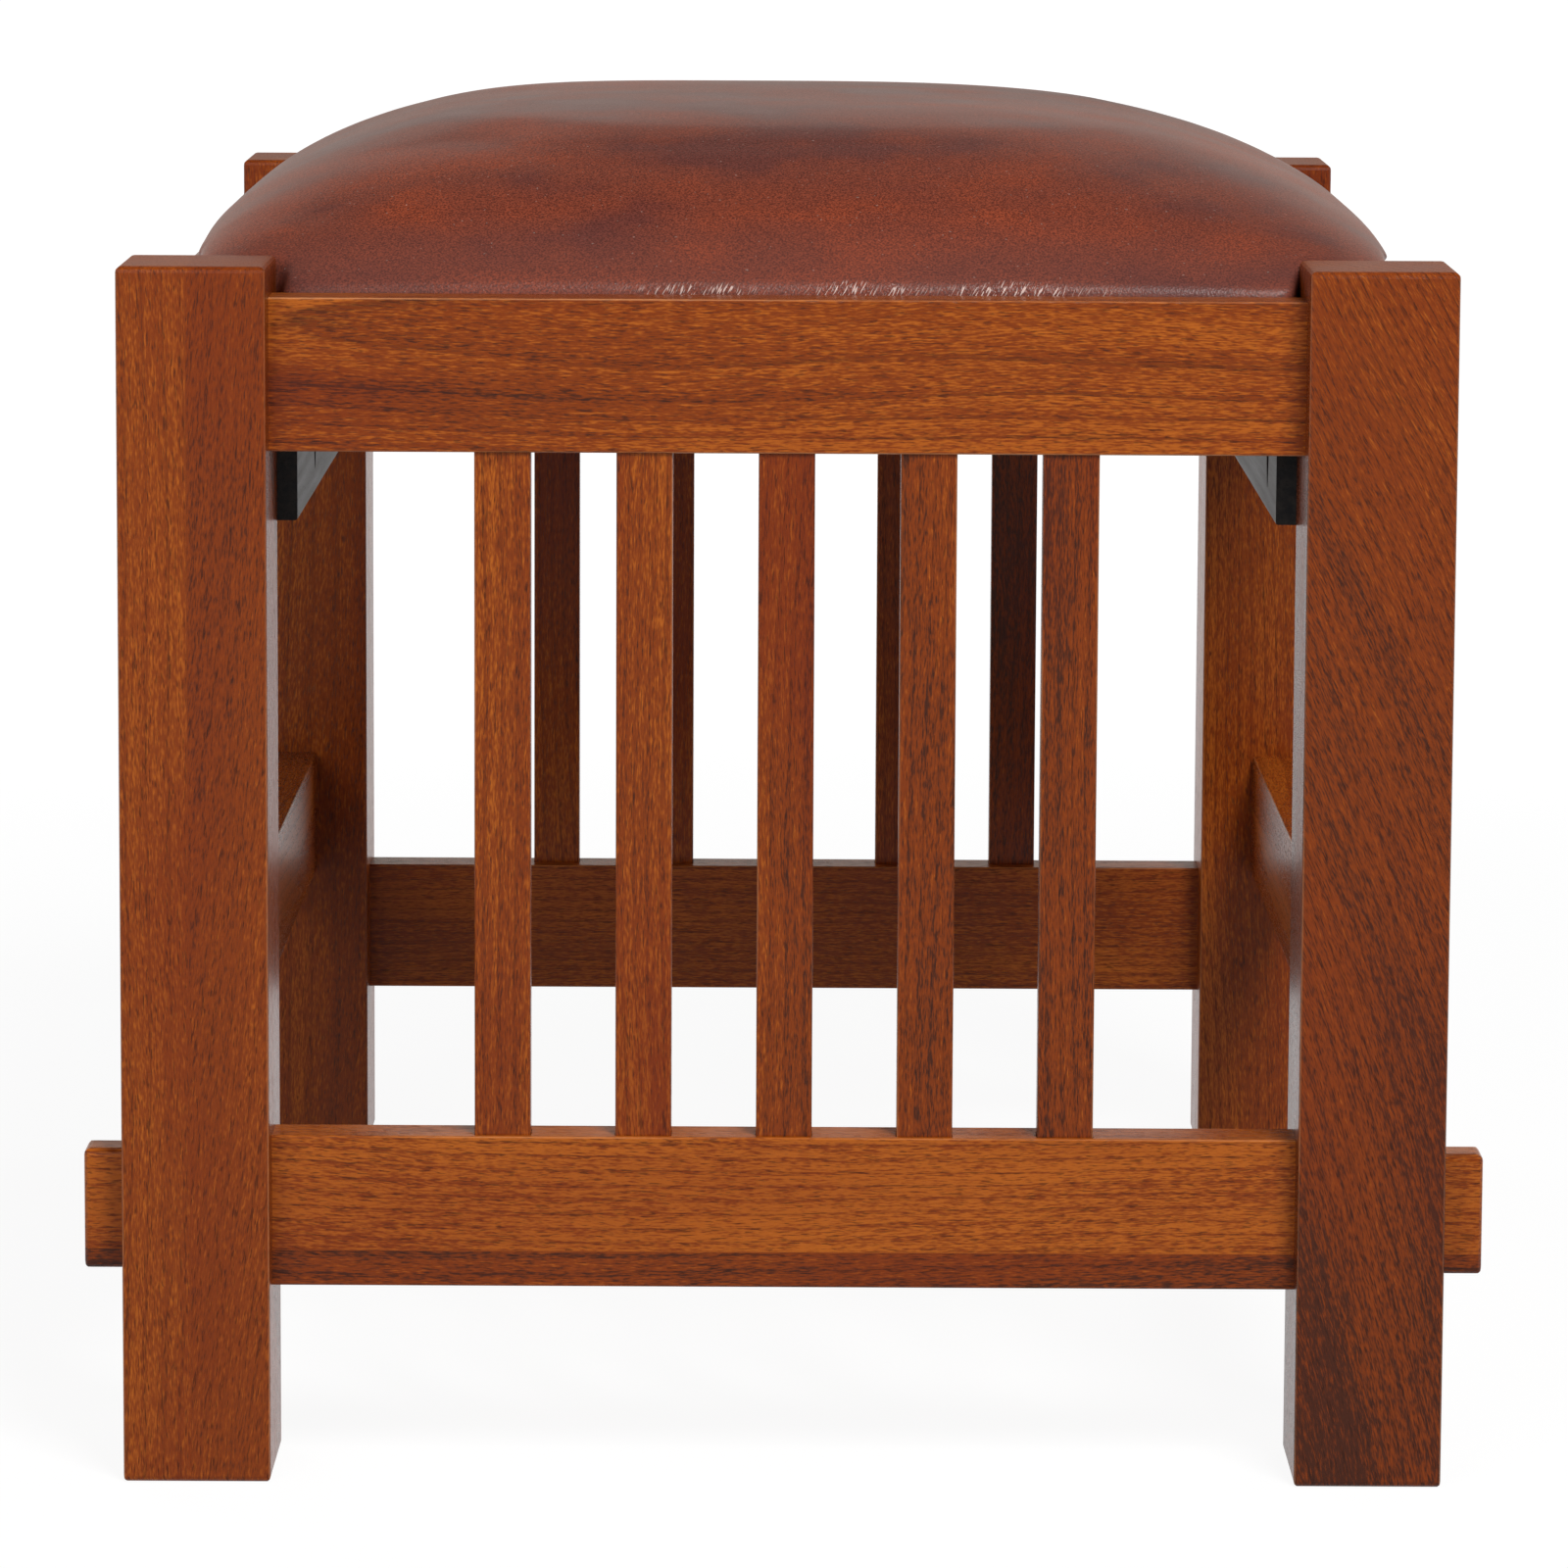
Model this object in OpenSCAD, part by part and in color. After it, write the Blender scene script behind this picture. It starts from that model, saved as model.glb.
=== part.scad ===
// A low stool in the mission style: four square legs, flat rails tenoned into them, a row of
// flat spindles at the front and at the rear, and a crowned leather seat between the legs.
// It stands on Z = 0, centred on the Z axis. X runs across the spindled ends, Y from the front
// end, at the negative side, to the rear end. Lengths are in millimetres.

/* [Overall] */
// Width over the legs, across a spindled end
stool_width = 457; // [430:1:520]
// Depth over the legs, from end to end
stool_depth = 596; // [540:1:680]

/* [Legs] */
// Side of a leg, which is square in section
leg_side = 51; // [48:0.5:57]
// Height of a leg
leg_height = 423; // [400:1:460]
// Rounding round the top and the foot of a leg
leg_end_round = 2.2; // [1:0.1:3]
// Rounding along a leg's upright edges
leg_edge_round = 1.2; // [0.5:0.1:2]

/* [Rails] */
// Thickness of every rail
rail_thickness = 19.5; // [18:0.5:21]
// Rounding along the edges of rails and cleats
rail_round = 0.8; // [0.4:0.1:1.5]
// Height of the top rails
top_rail_height = 53; // [46:0.5:60]
// How far the top rails lie below the tops of the legs
top_rail_drop = 11.5; // [6:0.5:18]
// How far the end top rails are set back from the legs' faces
end_top_setback = 14; // [11:0.5:17]
// How far the end lower rails stand forward of the end top rails
end_low_step = 1; // [0:0.5:3]
// Height of an end lower rail
end_low_height = 53; // [46:0.5:60]
// Space under the end lower rails
end_low_lift = 67; // [50:1:90]
// How far the side rails are set back from the legs' outer faces
side_setback = 10; // [8:0.5:12]
// Height of a side lower rail
side_low_height = 50.5; // [44:0.5:58]
// How far the side lower rails lie above the end ones
side_low_step = 1; // [0:0.5:20]

/* [Tenons] */
// Thickness of a blind tenon
blind_tenon_thickness = 10; // [8:0.5:11]
// Length of a blind tenon
blind_tenon_length = 24; // [18:0.5:26]
// Shoulder above and below a blind tenon
blind_tenon_shoulder = 7; // [4:0.5:10]
// Thickness of a through tenon
through_tenon_thickness = 16.5; // [13:0.5:17]
// Shoulder above and below a through tenon
through_tenon_shoulder = 5.3; // [3:0.1:8]
// How far a through tenon stands out of its leg
through_tenon_reach = 14.5; // [8:0.5:20]
// Rounding round the end of a through tenon
through_tenon_round = 2.4; // [1:0.1:3.5]
// Wood left between the two tenons that come close inside a leg
tenon_wall = 3; // [2:0.5:5]
// Gap round a tenon or a spindle in its mortise
joint_gap = 0.15; // [0.05:0.05:0.3]

/* [Spindles] */
// Spindles at each end
spindle_count = 5; // [3:1:5]
// Width of a spindle
spindle_width = 19.4; // [15:0.1:24]
// Thickness of a spindle
spindle_thickness = 10; // [8:0.5:12]
// Spacing of the spindles, centre to centre
spindle_pitch = 48.8; // [36:0.2:56]
// How far the spindles lie behind the face of the top rail
spindle_setback = 1.5; // [1:0.5:4]
// How deep each end of a spindle is let into its rail
spindle_housing = 10; // [6:0.5:14]
// Rounding along the edges of a spindle
spindle_round = 0.8; // [0.4:0.1:1.5]

/* [Seat cleats] */
// Thickness of a seat cleat
cleat_thickness = 28.5; // [24:0.5:32]
// Height of a seat cleat
cleat_height = 58; // [50:0.5:66]
// How far a cleat's top lies below the top of the rails
cleat_drop = 23.2; // [20:0.2:30]
// Gap between a cleat's ends and the legs
cleat_end_gap = 0.3; // [0.1:0.1:0.8]
// Bore of a screw pocket
pocket_bore = 9.5; // [8.5:0.1:10.5]
// Slope of a screw pocket from upright
pocket_tilt = 15; // [12:1:18]
// Height of a screw pocket's lower end above the cleat's bottom
pocket_lift = 8; // [5:0.5:12]
// Distance of the first screw pocket from its end of the cleat
pocket_far_inset = 88; // [70:1:110]
// Distance of the second screw pocket from the other end
pocket_near_inset = 43; // [35:1:60]
// Wood left above a screw pocket
pocket_roof = 14; // [10:0.5:16]

/* [Seat screws] */
// Diameter of a screw's shank
screw_shank = 4; // [3:0.1:4.4]
// Diameter of a screw's head
screw_head = 8; // [7:0.1:8.4]
// Height of a screw's head
screw_head_height = 2.6; // [2:0.1:3.5]
// Width of the cross recess in a screw's head
screw_recess_width = 1; // [0.6:0.1:1.4]
// Length of the cross recess in a screw's head
screw_recess_length = 4.6; // [3.5:0.1:5.5]
// Depth of the cross recess in a screw's head
screw_recess_depth = 1.4; // [0.8:0.1:1.8]
// How far a screw bites into the seat board
screw_bite = 8; // [5:0.5:9]
// Gap round a screw's shank
screw_gap = 0.15; // [0.05:0.05:0.3]

/* [Seat] */
// Thickness of the seat board
board_thickness = 12; // [11:0.5:16]
// Gap between the seat and the wood round it
seat_gap = 1; // [0.5:0.1:2]
// Thickness of the leather
leather_thickness = 1.4; // [1:0.1:2]
// Gap between the leather, the foam and the board
pad_gap = 0.3; // [0.2:0.1:0.5]
// Gap between the leather and the tops of the side rails
pad_over_rail_gap = 0.8; // [0.4:0.1:1.5]
// How far the seat swells out over the side rails, midway between the legs
pad_overhang = 16.5; // [12:0.5:22]
// How much less it swells next to the legs
pad_draw_in = 8; // [4:0.5:12]
// Height of the seat's widest line above the rails
pad_edge_rise = 6.8; // [5:0.2:12]
// Rise of the crown above the seat's widest line
crown_rise = 48; // [30:1:70]
// Corner radius of the seat beside the legs
pad_side_corner = 6; // [5:0.5:10]
// Corner radius of the seat at the end rails
pad_end_corner = 9; // [7:0.5:14]
// Radius inside the notches that clear the legs
pad_notch_round = 4; // [3:0.5:8]

/* [Hidden] */
// Overrun of a cut past the face that it opens
overrun = 1;
// Length by which a tenon is rooted in its rail
tenon_root = 2;
// Steps in the rounding of a wooden edge
round_steps = 3;
// Facets of a round hole or screw
round_facets = 48;

half_width = stool_width / 2;
half_depth = stool_depth / 2;
legs_half_gap_x = half_width - leg_side;
legs_half_gap_y = half_depth - leg_side;

top_rail_top = leg_height - top_rail_drop;
top_rail_bottom = top_rail_top - top_rail_height;
end_top_face = half_depth - end_top_setback;
end_top_back = end_top_face - rail_thickness;
end_low_face = end_top_face + end_low_step;
end_low_back = end_low_face - rail_thickness;
end_low_top = end_low_lift + end_low_height;
side_face = half_width - side_setback;
side_back = side_face - rail_thickness;
side_low_bottom = end_low_top + side_low_step;
side_low_top = side_low_bottom + side_low_height;

blind_tenon_cheek = (rail_thickness - blind_tenon_thickness) / 2;
through_tenon_cheek = (rail_thickness - through_tenon_thickness) / 2;
// The side top rails' tenons stop short of the end top rails' tenons inside the leg
side_top_tenon_length = end_top_back + blind_tenon_cheek - tenon_wall - legs_half_gap_y;

spindle_face = end_top_face - spindle_setback;
spindle_back = spindle_face - spindle_thickness;
spindle_bottom = end_low_top - spindle_housing;
spindle_top = top_rail_bottom + spindle_housing;
first_spindle_x = -spindle_pitch * (spindle_count - 1) / 2;

cleat_top = top_rail_top - cleat_drop;
cleat_bottom = cleat_top - cleat_height;
cleat_inner = side_back - cleat_thickness;
cleat_half_length = legs_half_gap_y - cleat_end_gap;
pocket_centre_z = cleat_bottom + pocket_lift + pocket_bore / 2 / sin(pocket_tilt);
pocket_reach = pocket_bore / tan(pocket_tilt);
cleat_top_along = (cleat_top - pocket_centre_z) / cos(pocket_tilt);
pocket_shoulder_along = cleat_top_along - pocket_roof;
pocket_places = [-cleat_half_length + pocket_far_inset, cleat_half_length - pocket_near_inset];

board_bottom = cleat_top;
board_top = board_bottom + board_thickness;
board_inset = leather_thickness + pad_gap;
pad_base_side = side_back - seat_gap;
pad_end = end_top_back - seat_gap;
pad_notch_x = legs_half_gap_x - seat_gap;
pad_notch_y = legs_half_gap_y - seat_gap;
pad_over_rail = top_rail_top + pad_over_rail_gap;
pad_edge_z = top_rail_top + pad_edge_rise;
// Shape of the crown across and along the seat
crown_side_power = 2.9;
crown_side_fall = 0.78;
crown_end_power = 3;
crown_end_fall = 0.5;
// How far out towards the overhang, and how far up towards the widest line, the swell's rings lie
swell_out_shares = [0, 0.6, 0.9, 1];
swell_up_shares = [0, 0.12, 0.5, 1];
// How far from the middle the crown's rings lie
cover_crown_shares = [0.975, 0.93, 0.84, 0.68, 0.46, 0.22];
lining_crown_shares = [0.94, 0.74, 0.4];
// Points along the seat's outline between its corners
side_point_shares = [0, 0.27, 0.54, 0.8];
end_point_shares = [0.75, 0.5, 0.25, 0];

leg_colour = [0.44, 0.23, 0.13];
rail_colour = [0.53, 0.27, 0.13];
spindle_colour = [0.5, 0.26, 0.13];
cleat_colour = [0.3, 0.18, 0.13];
board_colour = [0.72, 0.57, 0.4];
foam_colour = [0.9, 0.86, 0.72];
leather_colour = [0.42, 0.22, 0.18];
screw_colour = [0.16, 0.16, 0.17];

// A rectangle from the origin with its four corners rounded in a few steps
function rounded_corner(cx, cy, radius, start) =
    [for (i = [0 : round_steps])
        let (turn = start + 90 * i / round_steps)
        [cx + radius * cos(turn), cy + radius * sin(turn)]];
function rounded_rectangle(w, h, radius) = concat(
    rounded_corner(w - radius, h - radius, radius, 0),
    rounded_corner(radius, h - radius, radius, 90),
    rounded_corner(radius, radius, radius, 180),
    rounded_corner(w - radius, radius, radius, 270)
);

// A box from the corner low to the corner high, larger by a gap on every side
module box(low, high, gap = 0) {
    margin = [gap, gap, gap];
    translate(low - margin)
        cube(high - low + 2 * margin);
}

// A bar along X, Y or Z with its four long edges rounded
module bar_x(low, high, radius)
    translate(low)
        rotate([90, 0, 90])
            linear_extrude(high.x - low.x)
                polygon(rounded_rectangle(high.y - low.y, high.z - low.z, radius));
module bar_y(low, high, radius)
    translate([low.x, high.y, low.z])
        rotate([90, 0, 0])
            linear_extrude(high.y - low.y)
                polygon(rounded_rectangle(high.x - low.x, high.z - low.z, radius));
module bar_z(low, high, radius)
    translate(low)
        linear_extrude(high.z - low.z)
            polygon(rounded_rectangle(high.x - low.x, high.y - low.y, radius));

// Turns a piece drawn at the front or at the left into its fellow at the rear or at the right
module at_rear(rear) mirror([0, rear ? 1 : 0, 0]) children();
module at_right(right) mirror([right ? 1 : 0, 0, 0]) children();

// The left tenon of the front top rail
module end_top_tenon(gap)
    box([-legs_half_gap_x - blind_tenon_length,
         -end_top_face + blind_tenon_cheek,
         top_rail_bottom + blind_tenon_shoulder],
        [-legs_half_gap_x + tenon_root,
         -end_top_back - blind_tenon_cheek,
         top_rail_top - blind_tenon_shoulder], gap);

// The front tenon of the left top rail
module side_top_tenon(gap)
    box([-side_face + blind_tenon_cheek,
         -legs_half_gap_y - side_top_tenon_length,
         top_rail_bottom + blind_tenon_shoulder],
        [-side_back - blind_tenon_cheek,
         -legs_half_gap_y + tenon_root,
         top_rail_top - blind_tenon_shoulder], gap);

// The front tenon of the left lower rail
module side_low_tenon(gap)
    box([-side_face + blind_tenon_cheek,
         -legs_half_gap_y - blind_tenon_length,
         side_low_bottom + blind_tenon_shoulder],
        [-side_back - blind_tenon_cheek,
         -legs_half_gap_y + tenon_root,
         side_low_top - blind_tenon_shoulder], gap);

// Opposite corners of the left through tenon of the front lower rail
through_tenon_low = [-half_width - through_tenon_reach,
                     -end_low_face + through_tenon_cheek,
                     end_low_lift + through_tenon_shoulder];
through_tenon_high = [-legs_half_gap_x + tenon_root,
                      -end_low_back - through_tenon_cheek,
                      end_low_top - through_tenon_shoulder];

// The through tenon, rounded along its length and round its end
module through_tenon() {
    size = through_tenon_high - through_tenon_low;
    // The rounded outline seen from above and from the front is longer, so that it rounds one end
    past_root = [through_tenon_round, 0, 0];
    intersection() {
        bar_x(through_tenon_low, through_tenon_high, through_tenon_round);
        bar_y(through_tenon_low, through_tenon_high + past_root, through_tenon_round);
        bar_z(through_tenon_low, through_tenon_high + past_root, through_tenon_round);
    }
}

// The front left leg, with the mortises of the four rails that meet it
module leg_body() {
    low = [-half_width, -half_depth, 0];
    high = [-legs_half_gap_x, -legs_half_gap_y, leg_height];
    difference() {
        intersection() {
            bar_z(low, high, leg_edge_round);
            bar_x(low, high, leg_end_round);
            bar_y(low, high, leg_end_round);
        }
        end_top_tenon(joint_gap);
        side_top_tenon(joint_gap);
        side_low_tenon(joint_gap);
        box(through_tenon_low, through_tenon_high, joint_gap);
    }
}

module leg(rear, right)
    color(leg_colour)
        at_rear(rear) at_right(right) leg_body();

// A front spindle, larger by a gap where it is cut out of the rails
function spindle_x(i) = first_spindle_x + spindle_pitch * (i - 1);
function spindle_low(i) = [spindle_x(i) - spindle_width / 2, -spindle_face, spindle_bottom];
function spindle_high(i) = [spindle_x(i) + spindle_width / 2, -spindle_back, spindle_top];
module spindle_housings()
    for (i = [1 : spindle_count])
        box(spindle_low(i), spindle_high(i), joint_gap);

module spindle(i, rear)
    color(spindle_colour)
        at_rear(rear)
            bar_z(spindle_low(i), spindle_high(i), spindle_round);

// The top rail across an end, housed for the spindles below
module end_top_rail(rear)
    color(rail_colour)
        at_rear(rear)
            difference() {
                union() {
                    bar_x([-legs_half_gap_x, -end_top_face, top_rail_bottom],
                          [legs_half_gap_x, -end_top_back, top_rail_top], rail_round);
                    for (right = [false, true])
                        at_right(right) end_top_tenon(0);
                }
                spindle_housings();
            }

// The lower rail across an end, whose tenons pass right through the legs
module end_low_rail(rear)
    color(rail_colour)
        at_rear(rear)
            difference() {
                union() {
                    bar_x([-legs_half_gap_x, -end_low_face, end_low_lift],
                          [legs_half_gap_x, -end_low_back, end_low_top], rail_round);
                    for (right = [false, true])
                        at_right(right) through_tenon();
                }
                spindle_housings();
            }

// The top rail along a side
module side_top_rail(right)
    color(rail_colour)
        at_right(right) {
            bar_y([-side_face, -legs_half_gap_y, top_rail_bottom],
                  [-side_back, legs_half_gap_y, top_rail_top], rail_round);
            for (rear = [false, true])
                at_rear(rear) side_top_tenon(0);
        }

// The lower rail along a side
module side_low_rail(right)
    color(rail_colour)
        at_right(right) {
            bar_y([-side_face, -legs_half_gap_y, side_low_bottom],
                  [-side_back, legs_half_gap_y, side_low_top], rail_round);
            for (rear = [false, true])
                at_rear(rear) side_low_tenon(0);
        }

// Puts a shape drawn along Z on the axis of a screw pocket of the left cleat
module at_pocket(y)
    translate([-cleat_inner, y, pocket_centre_z])
        rotate([0, -pocket_tilt, 0])
            children();

// A round rod on that axis, between two distances from the cleat's inner face
module rod(from, to, diameter)
    translate([0, 0, from])
        cylinder(h = to - from, d = diameter, $fn = round_facets);

// The right cleat is the left one turned half round, so its pockets lie the other way
module turned_for(right) rotate([0, 0, right ? 180 : 0]) children();

// The cleat that carries the seat board, against the side top rail
module seat_cleat(right)
    color(cleat_colour)
        turned_for(right)
            difference() {
                bar_y([-side_back, -cleat_half_length, cleat_bottom],
                      [-cleat_inner, cleat_half_length, cleat_top], rail_round);
                for (y = pocket_places)
                    at_pocket(y) {
                        rod(-pocket_reach, pocket_shoulder_along, pocket_bore);
                        rod(0, cleat_top_along + screw_bite, screw_shank + 2 * screw_gap);
                    }
            }

// One pan head screw with a cross recess, up through the cleat into the seat board
module seat_screw()
    difference() {
        union() {
            rod(pocket_shoulder_along - screw_head_height, pocket_shoulder_along, screw_head);
            rod(pocket_shoulder_along - screw_recess_depth / 2, cleat_top_along + screw_bite,
                screw_shank);
        }
        for (turn = [0, 90])
            translate([0, 0, pocket_shoulder_along - screw_head_height])
                rotate([0, 0, turn])
                    cube([screw_recess_length, screw_recess_width, 2 * screw_recess_depth],
                         center = true);
    }

module seat_screws()
    color(screw_colour)
        for (right = [false, true], y = pocket_places)
            turned_for(right) at_pocket(y) seat_screw();

// A quarter of the seat's outline, from the X axis round to the Y axis. swell runs from 0, inside
// the side rails, to 1, at the full overhang. inset draws the whole outline in.
function arc_points(centre, radius, start, sweep, steps) =
    [for (i = [0 : steps])
        let (turn = start + sweep * i / steps)
        centre + radius * [cos(turn), sin(turn)]];
function pad_quarter(swell, inset) =
    let (side = pad_base_side + swell * pad_overhang - inset,
         draw_in = swell * pad_draw_in,
         end = pad_end - inset,
         notch = [pad_notch_x - inset, pad_notch_y - inset],
         side_corner = pad_side_corner - inset,
         end_corner = pad_end_corner - inset,
         notch_round = pad_notch_round + inset)
    concat(
        [for (share = side_point_shares)
            [side - draw_in * share * share, notch.y * share]],
        arc_points([side - draw_in - side_corner, notch.y - side_corner], side_corner, 0, 90, 2),
        arc_points(notch + [notch_round, notch_round], notch_round, 270, -90, 2),
        arc_points([notch.x - end_corner, end - end_corner], end_corner, 0, 90, 2),
        [for (share = end_point_shares)
            [(notch.x - end_corner) * share, end]]
    );

// The whole outline, from its quarter
function pad_outline(swell, inset) =
    let (quarter = pad_quarter(swell, inset),
         last = len(quarter) - 1)
    concat(
        quarter,
        [for (i = [1 : last]) [-quarter[last - i].x, quarter[last - i].y]],
        [for (i = [1 : last]) [-quarter[i].x, -quarter[i].y]],
        [for (i = [1 : last - 1]) [quarter[last - i].x, -quarter[last - i].y]]
    );

// Height of the crown above a point, for the seat drawn in by inset
function crown_share(at, half, power, fall) =
    pow(max(0, 1 - pow(abs(at) / half, power)), fall);
function crown_z(x, y, inset) =
    pad_edge_z - inset + crown_rise
        * crown_share(x, pad_base_side + pad_overhang - inset, crown_side_power, crown_side_fall)
        * crown_share(y, pad_end - inset, crown_end_power, crown_end_fall);

// Rings of points from the seat's lower rim up over its side and in to its crown
function rim_ring(z, inset) = [for (p = pad_outline(0, inset)) [p.x, p.y, z]];
function swell_rings(inset) =
    let (low = pad_over_rail + inset)
    [for (i = [0 : len(swell_out_shares) - 1])
        [for (p = pad_outline(swell_out_shares[i], inset))
            [p.x, p.y, low + (crown_z(p.x, p.y, inset) - low) * swell_up_shares[i]]]];
function crown_rings(shares, inset) =
    [for (share = shares)
        [for (p = pad_outline(1, inset) * share)
            [p.x, p.y, crown_z(p.x, p.y, inset)]]];
function pad_rings(rim_z, shares, inset) =
    concat([rim_ring(rim_z, inset)], swell_rings(inset), crown_rings(shares, inset));

// Triangles between two neighbouring rings of n points, the first of which starts at point a
function band(a, b, n) =
    [for (i = [0 : n - 1])
        let (j = (i + 1) % n)
        each [[a + i, b + i, b + j], [a + i, b + j, a + j]]];
// Triangles from the ring that starts at point a to a single point
function fan(a, tip, n) = [for (i = [0 : n - 1]) [a + i, tip, a + (i + 1) % n]];
function flipped(faces) = [for (f = faces) [f[2], f[1], f[0]]];
function flat_list(rings) = [for (ring = rings) each ring];
function ring_bands(first, count, n) =
    [for (k = [0 : count - 2]) each band(first + k * n, first + (k + 1) * n, n)];

// The foam, a closed solid that fills the leather above the seat board
module foam_pad() {
    rings = pad_rings(board_top + pad_gap, lining_crown_shares, board_inset);
    count = len(rings);
    n = len(rings[0]);
    crown = [0, 0, crown_z(0, 0, board_inset)];
    base = [0, 0, board_top + pad_gap];
    color(foam_colour)
        polyhedron(
            points = concat(flat_list(rings), [crown, base]),
            faces = concat(
                ring_bands(0, count, n),
                fan((count - 1) * n, count * n, n),
                flipped(fan(0, count * n + 1, n))
            )
        );
}

// The leather, a shell drawn over the foam and down over the edge of the seat board
module leather_cover() {
    outer = pad_rings(board_bottom + pad_gap, cover_crown_shares, 0);
    inner = pad_rings(board_bottom + pad_gap, lining_crown_shares, leather_thickness);
    n = len(outer[0]);
    outer_count = len(outer);
    inner_count = len(inner);
    inner_first = outer_count * n;
    tip = inner_first + inner_count * n;
    color(leather_colour)
        polyhedron(
            points = concat(
                flat_list(outer),
                flat_list(inner),
                [[0, 0, crown_z(0, 0, 0)], [0, 0, crown_z(0, 0, leather_thickness)]]
            ),
            faces = concat(
                ring_bands(0, outer_count, n),
                fan((outer_count - 1) * n, tip, n),
                flipped(ring_bands(inner_first, inner_count, n)),
                flipped(fan(inner_first + (inner_count - 1) * n, tip + 1, n)),
                band(inner_first, 0, n)
            )
        );
}

// The board under the foam, with pilot holes for the screws
module seat_board()
    color(board_colour)
        difference() {
            translate([0, 0, board_bottom])
                linear_extrude(board_thickness)
                    polygon(pad_outline(0, board_inset));
            for (right = [false, true], y = pocket_places)
                turned_for(right) at_pocket(y)
                    rod(cleat_top_along - overrun, cleat_top_along + screw_bite + screw_gap,
                        screw_shank + 2 * screw_gap);
        }

leg(rear = false, right = false);  // leg_front_left
leg(rear = false, right = true);  // leg_front_right
leg(rear = true, right = false);  // leg_rear_left
leg(rear = true, right = true);  // leg_rear_right
end_top_rail(rear = false);  // top_rail_front
end_top_rail(rear = true);  // top_rail_rear
side_top_rail(right = false);  // top_rail_left
side_top_rail(right = true);  // top_rail_right
end_low_rail(rear = false);  // lower_rail_front
end_low_rail(rear = true);  // lower_rail_rear
side_low_rail(right = false);  // lower_rail_left
side_low_rail(right = true);  // lower_rail_right
for (i = [1 : spindle_count]) {
    spindle(i, rear = false);
    spindle(i, rear = true);
}
seat_cleat(right = false);  // seat_cleat_left
seat_cleat(right = true);  // seat_cleat_right
seat_screws();
seat_board();
foam_pad();
leather_cover();
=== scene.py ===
import math

import bpy
import numpy as np
from mathutils import Matrix, Vector


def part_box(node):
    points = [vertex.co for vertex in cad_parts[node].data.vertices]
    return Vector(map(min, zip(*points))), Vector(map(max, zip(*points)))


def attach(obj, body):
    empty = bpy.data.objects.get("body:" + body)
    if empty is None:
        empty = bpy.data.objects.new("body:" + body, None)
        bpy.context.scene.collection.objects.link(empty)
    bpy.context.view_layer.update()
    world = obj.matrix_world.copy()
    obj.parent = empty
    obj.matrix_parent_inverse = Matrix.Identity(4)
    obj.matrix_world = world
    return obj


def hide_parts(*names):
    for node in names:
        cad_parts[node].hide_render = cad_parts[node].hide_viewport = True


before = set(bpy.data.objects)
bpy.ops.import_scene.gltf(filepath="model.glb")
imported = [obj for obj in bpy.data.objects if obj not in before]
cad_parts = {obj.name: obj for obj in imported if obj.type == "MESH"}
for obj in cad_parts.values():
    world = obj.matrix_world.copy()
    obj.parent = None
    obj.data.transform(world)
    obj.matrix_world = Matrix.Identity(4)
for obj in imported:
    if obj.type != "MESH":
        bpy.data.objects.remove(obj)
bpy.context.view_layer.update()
bpy.ops.object.select_all(action="DESELECT")


# The legs: four square posts of open-pored hardwood, stained a warm red brown and lacquered to a
# satin. The fibres run up the post, so its top shows end grain. The rails are tenoned into them.
def stain(red, green, blue):
    """A colour written as on a screen, 0 to 255, turned into the linear values that a shader takes."""
    def linear(level):
        share = level / 255
        return share / 12.92 if share <= 0.04045 else ((share + 0.055) / 1.055) ** 2.4
    return (linear(red), linear(green), linear(blue), 1.0)


class Wire:
    """One output of a shader node. Arithmetic on wires adds the Math nodes that it needs."""

    def __init__(self, tree, socket=None):
        self.tree = tree
        self.socket = socket

    def add(self, kind, settings, inputs, output=0):
        """Adds a node, gives it its settings, then fills its sockets with values or links."""
        node = self.tree.nodes.new("ShaderNode" + kind)
        for name, value in settings.items():
            setattr(node, name, value)
        for name, value in inputs.items():
            if isinstance(value, Wire):
                self.tree.links.new(value.socket, node.inputs[name])
            else:
                node.inputs[name].default_value = value
        return Wire(self.tree, node.outputs[output]) if node.outputs else None

    def other(self, name):
        """Another output of the node that this wire comes from."""
        return Wire(self.tree, self.socket.node.outputs[name])

    def maths(self, operation, first, second=0.0):
        """What a Math node makes of one or two wires or numbers."""
        return self.add("Math", {"operation": operation}, {0: first, 1: second})

    def __add__(self, other):
        return self.maths("ADD", self, other)

    def __sub__(self, other):
        return self.maths("SUBTRACT", self, other)

    def __rsub__(self, other):
        return self.maths("SUBTRACT", other, self)

    def __mul__(self, other):
        return self.maths("MULTIPLY", self, other)

    def __truediv__(self, other):
        return self.maths("DIVIDE", self, other)

    __radd__ = __add__
    __rmul__ = __mul__

    def step(self, low, high):
        """Rises smoothly from 0 to 1 as the value goes from low to high."""
        return self.add("MapRange", {"interpolation_type": "SMOOTHSTEP"},
                        {"Value": self, "From Min": low, "From Max": high})

    def mix(self, under, over):
        """Lays the colour over on the colour under, by this wire's value."""
        return self.add("Mix", {"data_type": "RGBA"}, {0: self, 6: under, 7: over}, 2)

    def noise(self, scales, offset, detail=2.0, roughness=0.5):
        """Noise in this vector's space, finer along an axis with a larger scale."""
        place = self.add("Mapping", {}, {"Vector": self, "Location": offset, "Scale": scales})
        return self.add("TexNoise", {"noise_dimensions": "3D"},
                        {"Vector": place, "Scale": 1.0, "Detail": detail, "Roughness": roughness})


def new_finish(name):
    """An empty material, and the wire from which its nodes are added."""
    material = bpy.data.materials.new(name)
    material.use_nodes = True
    material.node_tree.nodes.clear()
    return material, Wire(material.node_tree)


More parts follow.
